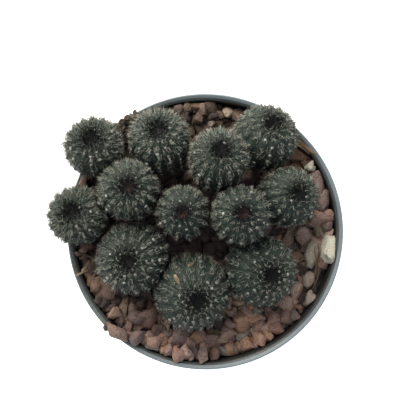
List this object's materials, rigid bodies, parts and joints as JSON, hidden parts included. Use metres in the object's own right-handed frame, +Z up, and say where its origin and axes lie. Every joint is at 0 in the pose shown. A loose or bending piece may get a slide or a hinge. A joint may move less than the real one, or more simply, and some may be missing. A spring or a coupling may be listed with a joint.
{
  "type": "potted clump of small globular cacti",
  "caption": "Small round plastic nursery pot crowded with ribbed, bristly globular cacti rooted in soil under a dressing of crushed lava rock and pale pumice.",
  "frame": {"origin": "centre of the pot's underside, on the surface that the pot stands on", "axes": "+Z up along the pot's axis; +Y is towards the top of the picture and +X towards its right"},
  "size_m": [0.0959, 0.09, 0.1017],
  "materials": {
    "pot_plastic": "satin",
    "potting_mix": "matte",
    "lava_rock": "matte",
    "pumice": "matte",
    "dry_flower": "matte",
    "cactus_skin": "satin"
  },
  "bodies": {
    "root": {"pot": "pot_plastic", "soil": "potting_mix", "gravel_lava": "lava_rock", "pumice_1": "pumice", "pumice_2": "pumice", "pumice_3": "pumice", "pumice_4": "pumice", "pumice_5": "pumice", "pumice_6": "pumice", "dry_curl": "dry_flower", "dry_husk": "dry_flower", "head_01": "cactus_skin", "head_02": "cactus_skin", "head_03": "cactus_skin", "head_04": "cactus_skin", "head_05": "cactus_skin", "head_06": "cactus_skin", "head_07": "cactus_skin", "head_08": "cactus_skin", "head_09": "cactus_skin", "head_10": "cactus_skin", "head_11": "cactus_skin", "head_12": "cactus_skin"}
  },
  "joints": []
}
